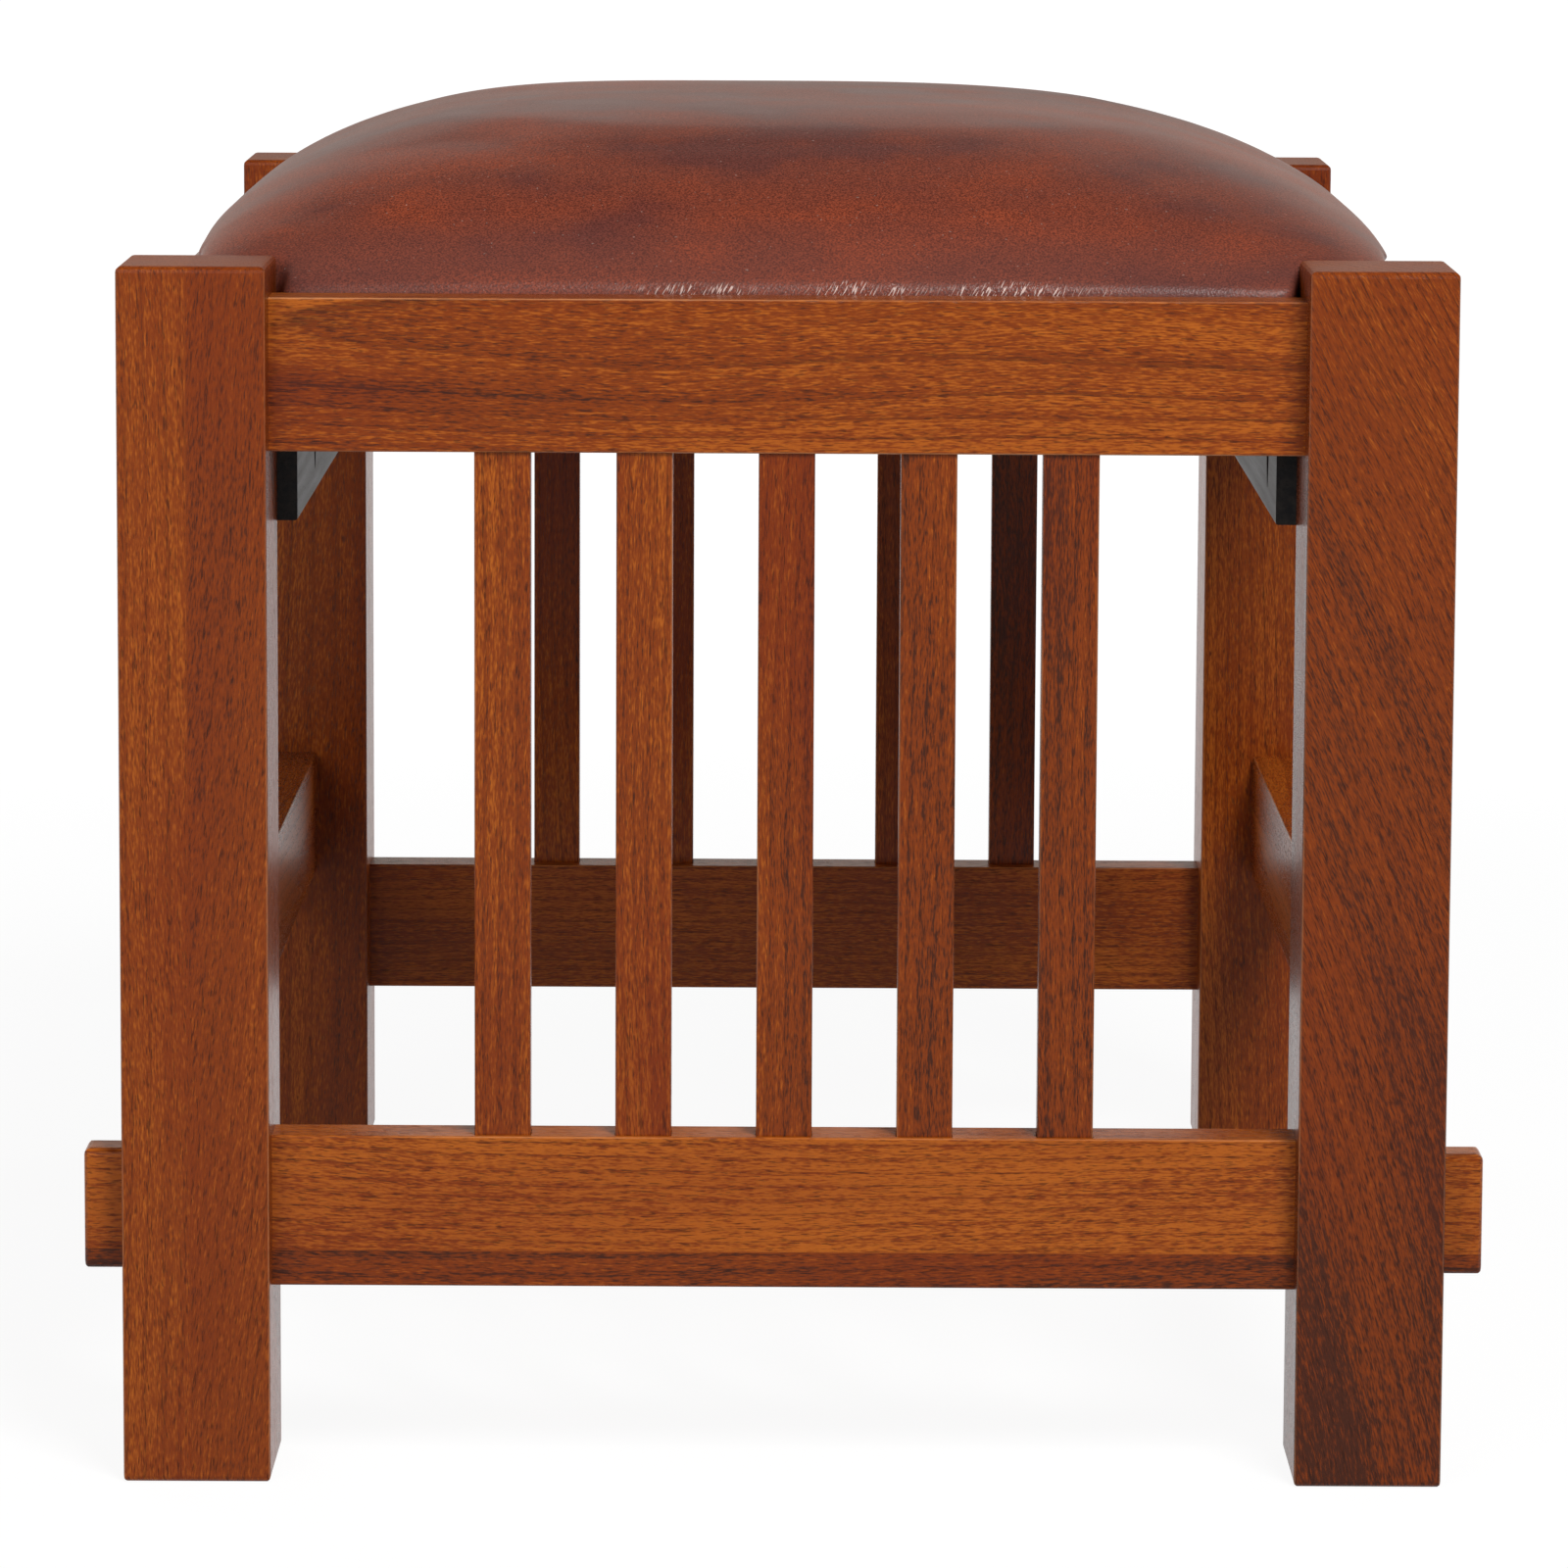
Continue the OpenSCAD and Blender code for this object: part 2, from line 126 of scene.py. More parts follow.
grain_order = {"X": ("X", "Z", "Y"), "Y": ("Y", "Z", "X"), "Z": ("Z", "X", "Y")}
wood_dark = stain(68, 32, 17)
wood_mid = stain(130, 56, 13)
wood_light = stain(178, 94, 27)
wood_red = stain(112, 32, 8)
wood_pore = stain(34, 12, 5)
edge_highlight = stain(206, 142, 96)
ring_width = 0.0046
pore_length = 0.0050
pore_width = 0.00034
highlight_width = 0.0007
base_tone = 0.635
fibre_wander = 0.022
fibre_sway = 0.040
ring_waver = 0.006
glue_width = 0.0002
next_board = 0.057


def timber(node, grain, heart, seed, lean=0.0, bow=0.0, joint=None, shade=0.0, fall=0.0,
           figure=1.0, redness=0.4, veins=0.2, wear_and_highlight=0.08):
    """Stained wood for one CAD node, whose fibres run along the axis grain. heart is where the middle
    of the tree lies across the grain, and seed picks the place in the log. The fibres lean and bow
    sideways, and at a glue joint (place, lean, shade) another board begins. fall is how much paler
    the wood gets along each metre, figure is how strong its markings are, redness how red its
    patches, veins how dark the lines along its rings, and wear_and_highlight how strong a pale painted
    highlight along its edges."""
    material, start = new_finish("wood_" + node)
    place = start.add("TexCoord", {}, {}, "Object")
    axes = start.add("SeparateXYZ", {}, {0: place})
    low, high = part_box(node)
    inward = []
    for axis, name in enumerate("XYZ"):
        half = (high[axis] - low[axis]) / 2
        inward.append(half - start.maths("ABSOLUTE", axes.other(name) - (low[axis] + half)))
    nearer = start.maths("MINIMUM", inward[0], inward[1])
    further = start.maths("MAXIMUM", inward[0], inward[1])
    from_edge = start.maths("MAXIMUM", nearer, start.maths("MINIMUM", further, inward[2]))

    along, across, through = [axes.other(axis) for axis in grain_order[grain]]
    offset = (seed * 7.3, seed * 3.1, seed * 5.7)
    raw = start.add("CombineXYZ", {}, {0: along, 1: across, 2: through})
    wander = raw.noise((3.2, 9.0, 9.0), offset, detail=1.5) - 0.5
    sway = raw.noise((2.1, 6.0, 6.0), (seed, seed * 2.9, 0.0), detail=0.0) - 0.5
    tone = base_tone + shade + along * fall
    slope = along * bow + lean
    if joint:
        seam, seam_lean, seam_shade = joint
        past = across.step(seam - glue_width, seam + glue_width)
        slope = slope + past * (seam_lean - lean)
        tone = tone + past * seam_shade
        across = across + past * next_board
    across = across + along * slope + wander * fibre_wander
    through = through + sway * fibre_sway
    log = start.add("CombineXYZ", {}, {0: along, 1: across, 2: through})

    cloud = log.noise((4.0, 34.0, 34.0), offset, detail=3.0)
    streak = log.noise((22.0, 420.0, 420.0), offset, detail=2.0, roughness=0.6)
    line = log.noise((150.0, 1300.0, 1300.0), offset, detail=1.0)
    speck = log.noise((360.0, 1900.0, 1900.0), offset, detail=1.0)
    from_heart = start.maths("SQRT", start.maths("POWER", across - heart[0], 2.0)
                             + start.maths("POWER", through - heart[1], 2.0))
    ring = start.maths("FRACT", (from_heart + (cloud - 0.5) * ring_waver) / ring_width)
    late_wood = ring.step(0.45, 0.92) * (1 - ring.step(0.94, 1.0))
    vein = ring.step(0.78, 0.93) * (1 - ring.step(0.94, 1.0)) * (streak + cloud).step(0.84, 1.08)
    pore_noise = log.noise((1 / pore_length, 0.62 / pore_width, 0.62 / pore_width), offset, detail=1.0)
    pore = (pore_noise + late_wood * 0.045 + (streak - 0.5) * 0.10).step(0.60, 0.69)

    tone = (tone + (cloud - 0.5) * (1.00 * figure) + (streak - 0.5) * (0.40 * figure)
            + (line - 0.5) * (0.85 * figure) + (speck - 0.5) * 1.05 - late_wood * (0.13 * figure))
    normal_along = start.add("SeparateXYZ", {}, {0: place.other("Normal")}, grain)
    end_grain = start.maths("ABSOLUTE", normal_along).step(0.6, 0.9)
    tone = tone + end_grain * 0.05
    vein = vein * tone.step(0.25, 0.70)
    colour = tone.step(0.0, 0.5).mix(wood_dark, wood_mid)
    colour = tone.step(0.5, 1.05).mix(colour, wood_light)
    red_patch = log.noise((5.0, 22.0, 22.0), (seed * 2.2, 5.0, seed), detail=1.0).step(0.42, 0.68)
    colour = (red_patch * redness).mix(colour, wood_red)
    colour = (vein * veins).mix(colour, wood_pore)
    colour = (pore * 0.55).mix(colour, wood_pore)
    # A pale painted highlight along every edge, broken up by the cloud noise, stands for light caught
    # by the eased arrises.
    highlighted = 1 - from_edge.step(0.2 * highlight_width, highlight_width)
    colour = (highlighted * (wear_and_highlight + 0.55 * cloud.step(0.46, 0.58))).mix(colour, edge_highlight)

    normal = start.add("Bump", {}, {"Strength": 0.18, "Distance": 0.0003, "Height": 1 - pore})
    gloss = 0.27 + 0.14 * pore + (cloud - 0.5) * 0.10 + 0.12 * end_grain
    shader = start.add("BsdfPrincipled", {}, {
        "Base Color": colour, "Roughness": gloss, "Specular IOR Level": 0.16, "Normal": normal})
    start.add("OutputMaterial", {}, {"Surface": shader})
    finish(node, material)


def finish(node, material):
    """Gives a CAD node its finish, in each of its material slots."""
    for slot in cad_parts[node].material_slots:
        slot.material = material


glue_joint = -0.2048
timber("leg_front_left", "Z", (-0.33, -0.18), seed=1.0, lean=0.02, joint=(glue_joint, -0.10, -0.12),
       shade=-0.02, figure=0.55, redness=0.25, wear_and_highlight=0.40)
timber("leg_front_right", "Z", (0.12, -0.36), seed=2.0, lean=0.22, bow=0.40, shade=-0.46, fall=0.90,
       figure=0.75, redness=0.1, veins=0.80, wear_and_highlight=0.40)
timber("leg_rear_left", "Z", (-0.30, 0.42), seed=3.0, lean=-0.05, figure=0.8)
timber("leg_rear_right", "Z", (0.35, 0.20), seed=4.0, lean=0.04, figure=0.8)


# The top rails: four flat boards of the same wood, laid on edge between the legs just under the
# seat, with blind tenons. The end boards are flat sawn, so long arches of grain run along them.
for number, (side, grain, heart) in enumerate([
        ("front", "X", (0.405, -0.235)), ("rear", "X", (0.36, 0.24)),
        ("left", "Y", (0.36, -0.16)), ("right", "Y", (0.41, 0.17))]):
    timber("top_rail_" + side, grain, heart, seed=6.0 + number, shade=0.09, figure=1.25, redness=0.3,
           veins=0.4, wear_and_highlight=0.35)


# The lower rails: boards like the top rails. The tenons of the end ones pass right through the
# legs and stand out at both sides, with eased ends. The side ones lie higher, on blind tenons.
dark_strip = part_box("lower_rail_front")[0].z + 0.0125
timber("lower_rail_front", "X", (0.02, -0.24), seed=11.0, joint=(dark_strip, 0.0, 0.42), shade=-0.15,
       figure=1.2, redness=0.2)
timber("lower_rail_rear", "X", (0.20, 0.30), seed=12.0, shade=0.10, redness=0.3)
timber("lower_rail_left", "Y", (0.20, -0.25), seed=13.0, shade=0.10, redness=0.3)
timber("lower_rail_right", "Y", (0.06, 0.24), seed=14.0, shade=0.10, redness=0.3)


# The spindles: five thin flat slats in each end, of the same wood, housed in the rail above and
# the rail below. Each was ripped from another board, so each has its own grain and shade.
spindle_shades = {1: 0.04, 2: 0.06, 3: -0.07, 4: -0.16, 5: -0.27}
for number, shade in spindle_shades.items():
    for end, row in (("front", 0), ("rear", 1)):
        name = f"{end}_spindle_{number}"
        low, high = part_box(name)
        middle = (low + high) / 2
        away = 0.05 + 0.03 * (number % 3)
        heart = (middle.x + away, middle.y - 0.04 * (number % 2) - 0.02)
        seed = 16.0 + number + len(spindle_shades) * row
        # fall=-0.30 darkens each spindle toward its top: painted shade under the top rail.
        timber(name, "Z", heart, seed, shade=shade + 0.06, fall=-0.30, veins=0.3)


# The seat cleats: two heavy battens screwed along the inside of the side rails, stained almost
# black, which carry the seat board. Slanted screw pockets are bored in their inner faces.
def ebonised(name):
    material, start = new_finish(name)
    place = start.add("TexCoord", {}, {}, "Object")
    streak = place.noise((300.0, 12.0, 300.0), (4.0, 0.0, 1.0), detail=3.0)
    pore = place.noise((1300.0, 150.0, 1300.0), (0.0, 3.0, 0.0), detail=1.0).step(0.62, 0.70)
    colour = streak.step(0.3, 0.7).mix(stain(20, 21, 25), stain(44, 42, 40))
    colour = (pore * 0.6).mix(colour, stain(10, 10, 12))
    normal = start.add("Bump", {}, {"Strength": 0.3, "Distance": 0.0003, "Height": 0.3 * streak - pore})
    shader = start.add("BsdfPrincipled", {}, {
        "Base Color": colour, "Roughness": 0.40 + 0.2 * (streak - 0.5), "Specular IOR Level": 0.14,
        "Normal": normal})
    start.add("OutputMaterial", {}, {"Surface": shader})
    return material


cleat_finish = ebonised("cleat_wood")
for side in ("left", "right"):
    finish("seat_cleat_" + side, cleat_finish)


# The seat screws: four pan head screws, black oxide on steel, up through the pockets of the
# cleats into the seat board.
def black_steel(name):
    material, start = new_finish(name)
    place = start.add("TexCoord", {}, {}, "Object")
    wear_and_highlight = place.noise((900.0, 900.0, 900.0), (0.0, 0.0, 0.0), detail=3.0)
    colour = wear_and_highlight.step(0.5, 0.75).mix(stain(38, 38, 42), stain(92, 90, 88))
    shader = start.add("BsdfPrincipled", {}, {
        "Base Color": colour, "Metallic": 0.8, "Roughness": 0.34 + 0.2 * wear_and_highlight})
    start.add("OutputMaterial", {}, {"Surface": shader})
    return material


finish("seat_screws", black_steel("screw_steel"))


# The seat board: birch plywood, whose thin plies show as stripes round its edge. The leather
# and the foam are fixed to it, and it is screwed down on the cleats.
def plywood(name, low, high, plies):
    material, start = new_finish(name)
    place = start.add("TexCoord", {}, {}, "Object")
    height = start.add("SeparateXYZ", {}, {0: place}, "Z")
    ply = start.maths("FRACT", (height - low) / (high - low) * plies / 2)
    grain = place.noise((160.0, 7.0, 160.0), (0.0, 1.0, 0.0), detail=4.0)
    fleck = place.noise((700.0, 120.0, 700.0), (2.0, 1.0, 0.0), detail=1.0).step(0.60, 0.72)
    colour = grain.step(0.3, 0.7).mix(stain(176, 136, 92), stain(206, 170, 124))
    colour = (fleck * 0.4).mix(colour, stain(140, 98, 62))
    colour = (ply.step(0.46, 0.54) * 0.35).mix(colour, stain(128, 88, 56))
    normal = start.add("Bump", {}, {"Strength": 0.3, "Distance": 0.0003, "Height": grain - fleck})
    shader = start.add("BsdfPrincipled", {}, {
        "Base Color": colour, "Roughness": 0.62 + 0.1 * grain, "Normal": normal})
    start.add("OutputMaterial", {}, {"Surface": shader})
    return material


board_low, board_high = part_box("seat_board")
finish("seat_board", plywood("board_wood", board_low.z, board_high.z, plies=7))


# The cushion: a block of foam, crowned, under one piece of brown leather. It fits inside the end
# rails, is notched round the four legs and swells out over the side rails. A cloth simulation
# blows the leather out from the board, and small creases, with a painted highlight on their ridges,
# show where it is drawn in over an end.
cover_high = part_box("leather_cover")[1]
side_rail_low, side_rail_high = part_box("top_rail_right")
leg_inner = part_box("leg_rear_right")[0]
gap_to_wood = 0.001
base_side = side_rail_low.x - gap_to_wood
end_side = cover_high.y
notch = Vector((leg_inner.x - gap_to_wood, leg_inner.y - gap_to_wood))
overhang = cover_high.x - base_side
draw_in = 0.014
draw_power = 3.2
end_drop = 0.0060
end_drop_power = 12
over_rail = side_rail_high.z + 0.0008
edge_height = side_rail_high.z + 0.0068
crown_rise = cover_high.z - edge_height
pad_floor = board_high.z + 0.0003
wall_inset = 0.0010
rim_spare = 0.0024
rim_shift = 0.0019
rim_steps = 8
corner = 0.005
leg_corner = 0.004
leg_flare = 0.0050
flare_width = 0.020
flare_power = 4
flare_edge = 30
side_power = 3.48
side_fall = 0.715
end_power = 4.14
end_fall = 0.95
lopsided = 0.0725
start_drop = 0.0021
crown_steps = 40
voxel = 0.0045


def arc(centre, radius, first, sweep, steps):
    """Points along part of a circle, from the angle first on through the angle sweep."""
    turns = [math.radians(first + sweep * i / steps) for i in range(steps + 1)]
    return [(centre[0] + radius * math.cos(t), centre[1] + radius * math.sin(t)) for t in turns]


def seat_outline(swell):
    """The seat seen from above, at a height where it has swollen out by a share of its overhang."""
    side = base_side + swell * (overhang + rim_spare) - wall_inset * (1 - swell)
    drawn = swell * draw_in
    end = end_side - wall_inset
    inner = (notch.x - wall_inset, notch.y - wall_inset)
    shares = [i / 24 for i in range(24)]
    quarter = [(side - drawn * s ** draw_power, (inner[1] - corner) * s) for s in shares]
    quarter += arc((side - drawn - corner, inner[1] - corner), corner, 0, 90, 5)
    quarter += arc((inner[0] + leg_corner, inner[1] + leg_corner), leg_corner, 270, -90, 4)
    quarter += arc((inner[0] - corner, end - corner), corner, 0, 90, 5)
    quarter += [((inner[0] - corner) * (1 - (i + 1) / 20), end) for i in range(20)]
    half = quarter + [(-x, y) for x, y in reversed(quarter[:-1])]
    return half + [(-x, -y) for x, y in half[1:-1]]


def crown_height(x, y):
    """The height of the leather before it is blown up. It goes lowest at the ends, behind the rails."""
    half_width = base_side + overhang + rim_spare - draw_in * min(1.0, abs(y) / notch.y) ** draw_power
    from_middle = x / half_width
    from_middle = abs(from_middle + lopsided * max(0.0, 1 - from_middle ** 2))
    across = max(0.0, 1 - from_middle ** side_power) ** side_fall
    lengthways = max(0.0, 1 - (abs(y) / end_side) ** end_power) ** end_fall
    edge = edge_height - end_drop * (abs(y) / end_side) ** end_drop_power
    return edge + (crown_rise - start_drop) * across * lengthways


def flare(x, y):
    """How much further out the edge of the leather lies beside a leg, where no cleat pulls it in."""
    beside = min(1.0, max(0.0, (abs(x) - notch.x) / flare_width))
    return math.copysign(leg_flare * beside * min(1.0, abs(y) / notch.y) ** flare_power, x)


def seat_rings():
    """Outlines from the board up the wall, out over the rails and in to the top of the crown."""
    rings = [[(x, y, z) for x, y in seat_outline(0)]
             for z in (pad_floor, (pad_floor + over_rail) / 2, over_rail)]
    for i in range(1, rim_steps + 1):
        turn = math.radians(90 * i / rim_steps)
        out = math.sin(turn) ** 0.5
        up = 1 - math.cos(turn)
        rings.append([(x + (rim_shift + flare(x, y)) * out, y,
                       over_rail + (crown_height(x, y) - over_rail) * up)
                      for x, y in seat_outline(out)])
    for i in range(1, crown_steps):
        share = 1 - (i / crown_steps) ** 1.8
        rings.append([(x * share + rim_shift * share + flare(x, y) * share ** flare_edge, y * share,
                       crown_height(x * share, y * share)) for x, y in seat_outline(1)])
    return rings


def lofted(name, rings, tip):
    """A closed mesh through rings of equally many points, with its bottom filled."""
    count = len(rings[0])
    points = [p for ring in rings for p in ring] + [tip]
    faces = [tuple(reversed(range(count)))]
    for k in range(len(rings) - 1):
        for i in range(count):
            j = (i + 1) % count
            faces.append((k * count + i, k * count + j, (k + 1) * count + j, (k + 1) * count + i))
    last = (len(rings) - 1) * count
    faces += [(last + i, last + (i + 1) % count, len(points) - 1) for i in range(count)]
    mesh = bpy.data.meshes.new(name)
    mesh.from_pydata(points, [], faces)
    piece = bpy.data.objects.new(name, mesh)
    bpy.context.scene.collection.objects.link(piece)
    return piece


def alone(piece):
    """Selects a piece and nothing else, for the operators that follow."""
    bpy.ops.object.select_all(action="DESELECT")
    piece.select_set(True)
    bpy.context.view_layer.objects.active = piece


def points_of(mesh):
    """The places of a mesh's points, one row for each."""
    flat = np.zeros(len(mesh.vertices) * 3)
    mesh.vertices.foreach_get("co", flat)
    return flat.reshape(-1, 3)


held_rim = 0.001
freeing_height = 0.012
freeing_width = 0.030
swell_cap = 0.0018
swell_frames = 14


def freedom(points):
    """How freely the leather moves, from 0 where board, rails and legs hold it to 1 on the crown."""
    height = np.clip((points[:, 2] - over_rail - held_rim) / freeing_height, 0, 1)
    to_leg_x = np.clip((notch.x - np.abs(points[:, 0])) / freeing_width, 0, 1)
    to_leg_y = np.clip((notch.y - np.abs(points[:, 1])) / freeing_width, 0, 1)
    return height ** 2 * (3 - 2 * height) * (1 - (1 - to_leg_x) * (1 - to_leg_y))


def evened(moved, mesh, rounds):
    """Spreads each point's movement over its neighbours, so that the leather lies without ripples."""
    ends = np.zeros(len(mesh.edges) * 2, dtype=np.int32)
    mesh.edges.foreach_get("vertices", ends)
    first, second = ends.reshape(-1, 2).T
    neighbours = np.bincount(ends, minlength=len(moved))[:, None]
    for _ in range(rounds):
        around = [np.bincount(first, moved[second, axis], len(moved))
                  + np.bincount(second, moved[first, axis], len(moved)) for axis in range(3)]
        moved = (moved + np.stack(around, axis=1) / neighbours) / 2
    return moved


cushion = lofted("seat_cushion", seat_rings(), (0, 0, crown_height(0, 0)))
alone(cushion)
cushion.data.remesh_voxel_size = voxel
bpy.ops.object.voxel_remesh()
start_points = points_of(cushion.data)
free = freedom(start_points)
held = cushion.vertex_groups.new(name="held")
for index, share in enumerate(free):
    held.add([index], 1 - float(share), "REPLACE")
cloth = cushion.modifiers.new("swell", "CLOTH")
cloth.settings.quality = 6
cloth.settings.mass = 0.25
cloth.settings.tension_stiffness = 12
cloth.settings.compression_stiffness = 12
cloth.settings.bending_stiffness = 0.6
cloth.settings.use_pressure = True
cloth.settings.uniform_pressure_force = 4
cloth.settings.effector_weights.gravity = 0
cloth.settings.vertex_group_mass = "held"
for step in range(1, swell_frames + 1):
    bpy.context.scene.frame_set(step)
settled = cushion.evaluated_get(bpy.context.evaluated_depsgraph_get())
moved = evened(points_of(settled.data) - start_points, cushion.data, rounds=40)
cushion.modifiers.remove(cloth)
length = np.linalg.norm(moved, axis=1)
allowed = swell_cap * free
scale = np.minimum(1, allowed / np.maximum(length, 1e-9))
settled_points = start_points + moved * scale[:, None]
settled_points[:, 1] = np.clip(settled_points[:, 1], -end_side, end_side)
cushion.data.vertices.foreach_set("co", settled_points.ravel())
cushion.vertex_groups.clear()
bpy.context.scene.frame_set(1)
for kind, settings in (("SMOOTH", {"factor": 0.5, "iterations": 5}),
                       ("SUBSURF", {"levels": 1, "render_levels": 1})):
    modifier = cushion.modifiers.new(kind.lower(), kind)
    for name, value in settings.items():
        setattr(modifier, name, value)
    bpy.ops.object.modifier_apply(modifier=modifier.name)
bpy.ops.object.shade_smooth()


def leather(name):
    """Waxed leather: a mottled red brown with a fine pebbled grain, painted darker and greyer toward
    the ends as painted shade and sheen, and, just above the end rails, the small creases of its
    drawn-in edge, whose ridges carry a painted highlight."""
    material, start = new_finish(name)
    place = start.add("TexCoord", {}, {}, "Object")
    patch = place.noise((8.0, 11.0, 16.0), (2.0, 0.4, 0.0), detail=2.0)
    cloud = place.noise((27.0, 30.0, 44.0), (0.0, 1.0, 0.0), detail=3.0)
    speckle = place.noise((1400.0, 1400.0, 1400.0), (0.0, 0.0, 0.0), detail=1.0)
    pebble = start.add("TexVoronoi", {"feature": "F1"}, {"Vector": place, "Scale": 1050.0})
    tone = patch * 0.55 + cloud * 0.45
    colour = tone.step(0.38, 0.50).mix(stain(116, 56, 46), stain(142, 66, 44))
    colour = tone.step(0.49, 0.62).mix(colour, stain(162, 72, 41))
    colour = (speckle.step(0.28, 0.72) * 0.80).mix(colour, stain(62, 22, 16))
    spot = place.noise((900.0, 900.0, 900.0), (7.0, 0.0, 0.0), detail=0.0).step(0.82, 0.86)
    colour = (spot * 0.5).mix(colour, stain(190, 170, 160))
    axes = start.add("SeparateXYZ", {}, {0: place})
    to_end = end_side - start.maths("ABSOLUTE", axes.other("Y"))
    above = axes.other("Z") - side_rail_high.z
    # Toward the ends a darker, greyer colour is laid in: painted shade and sheen where the leather
    # turns down over the end rails.
    colour = ((1 - to_end.step(0.004, 0.045)) * 0.38).mix(colour, stain(98, 68, 64))
    slant = start.add("CombineXYZ", {}, {0: axes.other("X") - 0.50 * above, 1: above, 2: 0.0})
    crease = slant.noise((1500.0, 300.0, 1.0), (3.0, 0.0, 0.0), detail=0.0)
    pulled = 1 - start.maths("ABSOLUTE", axes.other("X") - 0.035).step(0.01, 0.13)
    reach = place.noise((45.0, 1.0, 1.0), (5.0, 0.0, 0.0), detail=3.0).step(0.20, 0.66)
    reach = reach * (0.06 + 0.94 * pulled)
    gathered = 1 - (above - 0.0004 - 0.0032 * reach).step(0.0, 0.0022)
    creased = gathered * (1 - to_end.step(0.004, 0.012)) * reach.step(0.12, 0.62)
    ridge_and_glint = creased * crease.step(0.56, 0.66)
    # The crease ridges are painted pale, a painted highlight standing for the glints on the creases.
    # Their relief goes into the bump.
    colour = (ridge_and_glint * 0.75).mix(colour, stain(226, 200, 190))
    relief = pebble * 0.5 + speckle * 0.5 + ridge_and_glint * 3.0
    normal = start.add("Bump", {}, {"Strength": 0.35, "Distance": 0.0004, "Height": relief})
    shader = start.add("BsdfPrincipled", {}, {
        "Base Color": colour, "Specular IOR Level": 0.16, "Normal": normal,
        "Roughness": 0.31 + 0.10 * (cloud - 0.5) + 0.06 * speckle - 0.10 * creased})
    start.add("OutputMaterial", {}, {"Surface": shader})
    return material


cushion_finish = leather("leather")
cushion.data.materials.append(cushion_finish)
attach(cushion, "root")
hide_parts("leather_cover", "foam_pad")


# The leather's margin: below the foam the same hide goes on down between the seat board and the
# rails, out of sight, where it is stapled to the board.
hair_gap = 0.0002
margin = bpy.data.objects.new("leather_margin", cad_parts["leather_cover"].data.copy())
bpy.context.scene.collection.objects.link(margin)
alone(margin)
bpy.ops.object.mode_set(mode="EDIT")
bpy.ops.mesh.select_all(action="SELECT")
bpy.ops.mesh.remove_doubles(threshold=1e-6)
bpy.ops.mesh.select_all(action="SELECT")
bpy.ops.mesh.bisect(plane_co=(0, 0, pad_floor - hair_gap), plane_no=(0, 0, 1), use_fill=True,
                    clear_outer=True)
bpy.ops.object.mode_set(mode="OBJECT")
margin.data.materials.clear()
margin.data.materials.append(cushion_finish)
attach(margin, "root")
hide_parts("leather_cover")


# The floor: a wide sheet of pale paper under the stool. It shines white to the camera and in gloss,
# and its matt part keeps the stool's soft shadow.
def white_paper(name):
    material, start = new_finish(name)
    rays = start.add("LightPath", {}, {})
    seen = start.maths("MAXIMUM", rays.other("Is Camera Ray"), rays.other("Is Glossy Ray"))
    seen = start.maths("MAXIMUM", seen, rays.other("Is Transmission Ray"))
    matt = start.add("BsdfDiffuse", {}, {"Color": stain(188, 188, 188)})
    place = start.add("TexCoord", {}, {}, "Object")
    away = start.add("VectorMath", {"operation": "LENGTH"}, {0: place}, "Value")
    shine = 1.15 + 0.15 * away.step(0.9, 3.0)
    glow = start.add("Emission", {}, {"Color": stain(255, 255, 255), "Strength": shine})
    mixed = start.add("MixShader", {}, {0: seen * 0.80, 1: matt, 2: glow})
    start.add("OutputMaterial", {}, {"Surface": mixed})
    return material


floor_side = 60.0
bpy.ops.object.select_all(action="DESELECT")
bpy.ops.mesh.primitive_plane_add(size=floor_side, location=(0, 0, 0))
floor = bpy.context.object
floor.name = "floor"
floor.data.materials.append(white_paper("white_paper"))


# The studio round the stool: white to the camera, faint as a light, and in gloss bright at the
# horizon and dim overhead, as in a room with a pale backdrop and a dark ceiling.
world = bpy.data.worlds.new("studio")
bpy.context.scene.world = world
world.use_nodes = True
world.node_tree.nodes.clear()
sky = Wire(world.node_tree)
rays = sky.add("LightPath", {}, {})
seen = sky.maths("MAXIMUM", rays.other("Is Camera Ray"), rays.other("Is Transmission Ray"))
height = sky.add("SeparateXYZ", {}, {0: sky.add("TexCoord", {}, {}, "Generated")}, 2)
ambient = 0.07
horizon = 0.76
ceiling = 0.14
in_gloss = (horizon - (horizon - ceiling) * height.step(0.08, 0.50)) * rays.other("Is Glossy Ray")
level = ambient + (1 - ambient) * sky.maths("MAXIMUM", seen, in_gloss)
tint = rays.other("Is Glossy Ray").mix(stain(255, 255, 255), stain(255, 249, 240))
light = sky.add("Background", {}, {"Color": tint, "Strength": level})
sky.add("OutputWorld", {}, {"Surface": light})


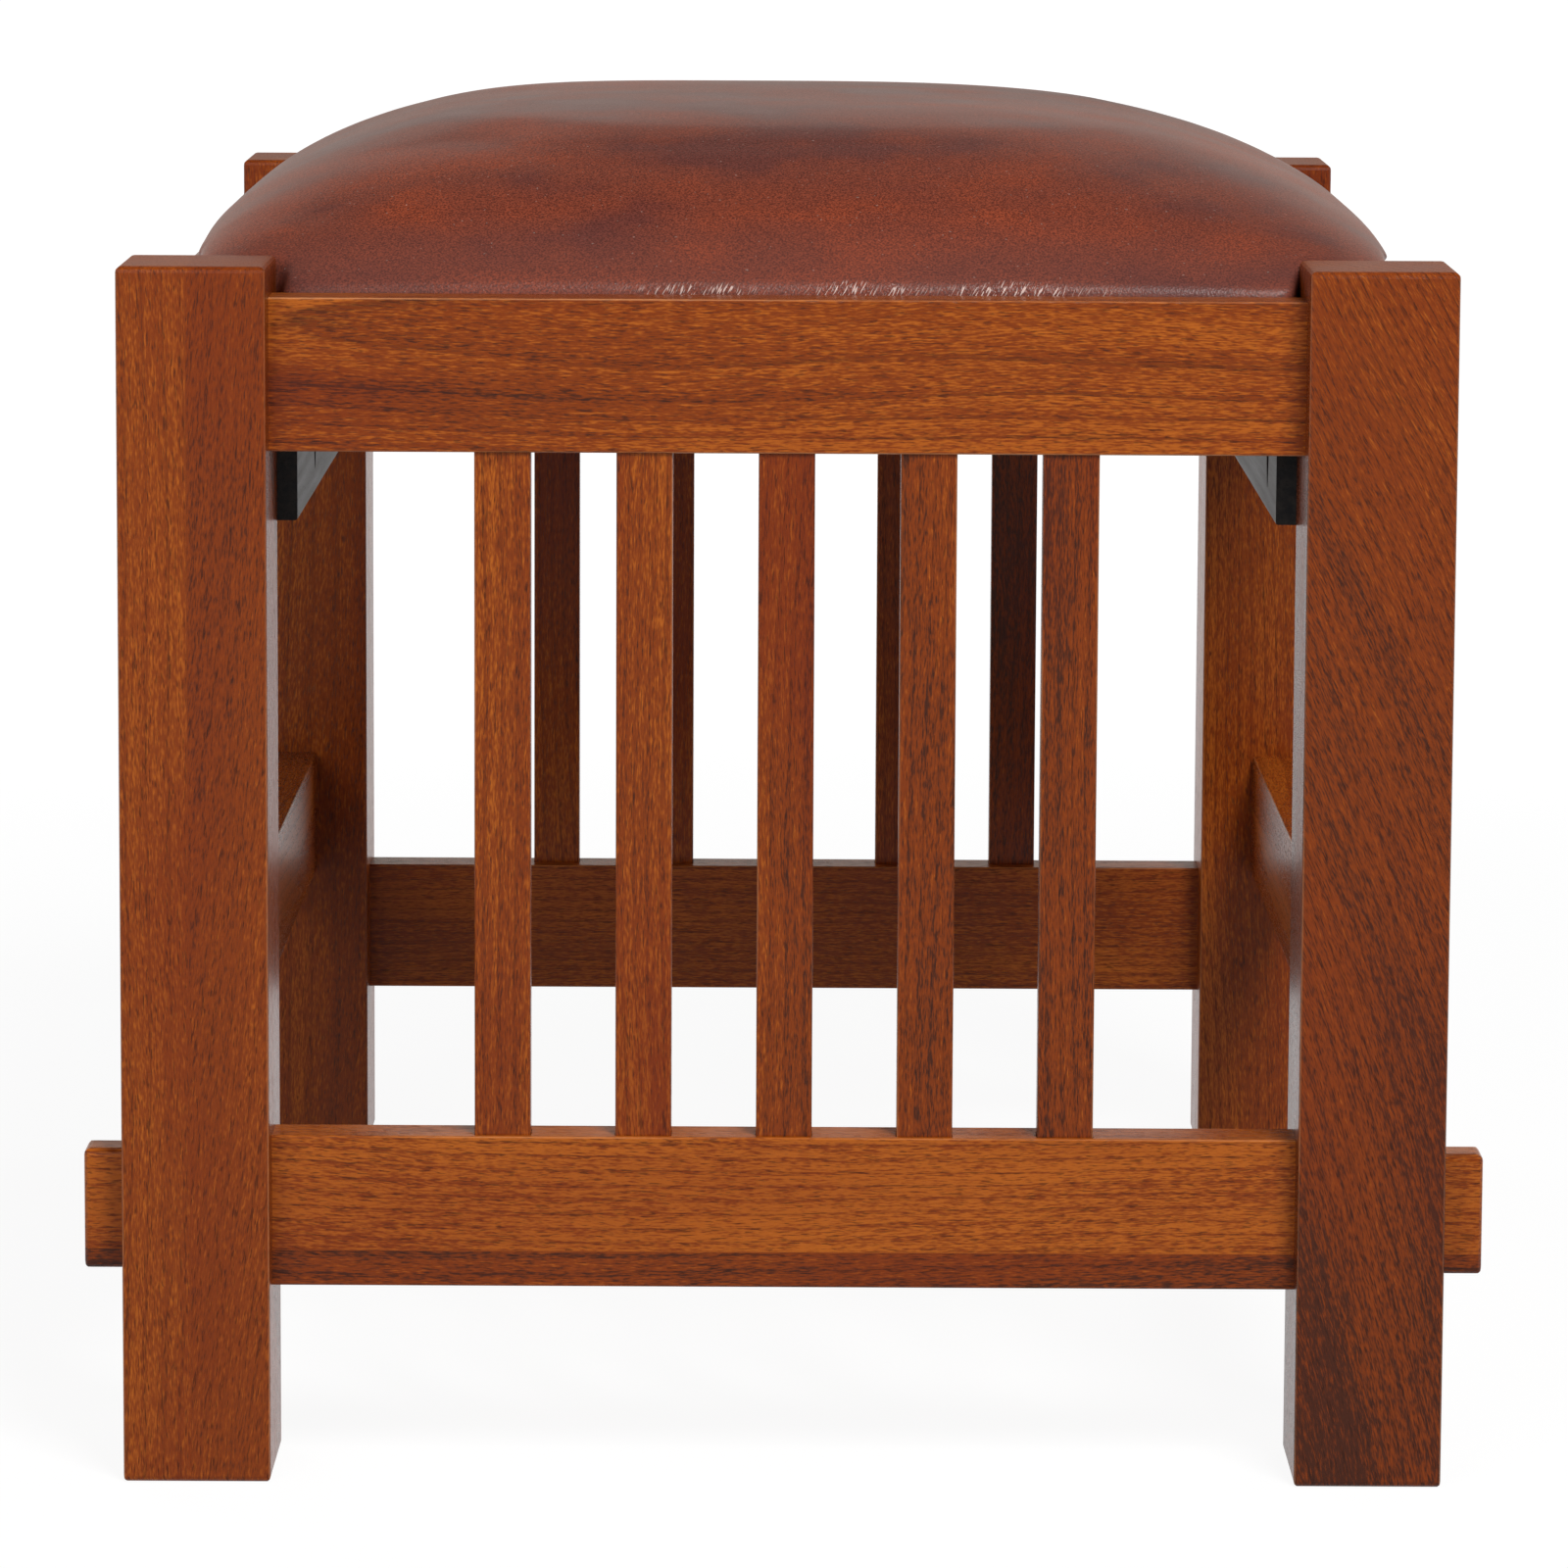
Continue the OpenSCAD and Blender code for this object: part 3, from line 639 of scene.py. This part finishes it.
# The lamps: a strong soft box high in front and to the right, whose light falls steeply past the
# seat onto the rear right leg, a weaker one in front on the left, and others for the far sides.
def soft_box(name, place, side, watts, in_gloss=True):
    lamp = bpy.data.lights.new(name, "AREA")
    lamp.size = side
    lamp.energy = watts
    holder = bpy.data.objects.new(name, lamp)
    holder.location = place
    holder.visible_glossy = in_gloss
    direction = Vector((0.0, 0.0, 0.25)) - Vector(place)
    holder.rotation_euler = direction.to_track_quat("-Z", "Y").to_euler()
    bpy.context.scene.collection.objects.link(holder)


soft_box("key_lamp", (0.8, -2.0, 2.4), 0.9, 70.0)
soft_box("front_left_lamp", (-1.1, -2.4, 1.3), 1.3, 19.0)
soft_box("left_lamp", (-2.2, -0.7, 0.6), 1.0, 3.0)
soft_box("rear_left_lamp", (-1.5, 2.0, 0.7), 1.2, 18.0, in_gloss=False)
soft_box("rear_right_lamp", (1.5, 2.0, 0.7), 1.2, 18.0, in_gloss=False)


# The camera: square on to the front end, a little above the seat, with a long lens. The picture
# takes in more below the lens's axis than above it.
image_side = 1600
camera_place = Vector((-0.00182, -2.56085, 0.61022))
yaw, pitch, roll = (math.radians(a) for a in (0.023, 7.037, 0.276))
focal_pixels = 6823.36
optical_centre_y = 550
ahead = Vector((math.sin(yaw) * math.cos(pitch), math.cos(yaw) * math.cos(pitch), -math.sin(pitch)))
right = Vector((math.cos(yaw), -math.sin(yaw), 0))
up = right.cross(ahead)
rolled_right = right * math.cos(roll) + up * math.sin(roll)
rolled_up = up * math.cos(roll) - right * math.sin(roll)
lens = bpy.data.cameras.new("camera")
lens.sensor_fit = "HORIZONTAL"
lens.sensor_width = 36.0
lens.lens = lens.sensor_width * focal_pixels / image_side
lens.shift_y = (optical_centre_y - image_side / 2) / image_side
camera = bpy.data.objects.new("camera", lens)
turn = Matrix((rolled_right, rolled_up, -ahead)).transposed()
camera.matrix_world = Matrix.Translation(camera_place) @ turn.to_4x4()
bpy.context.scene.collection.objects.link(camera)
bpy.context.scene.camera = camera

bpy.context.scene.view_settings.view_transform = "Standard"
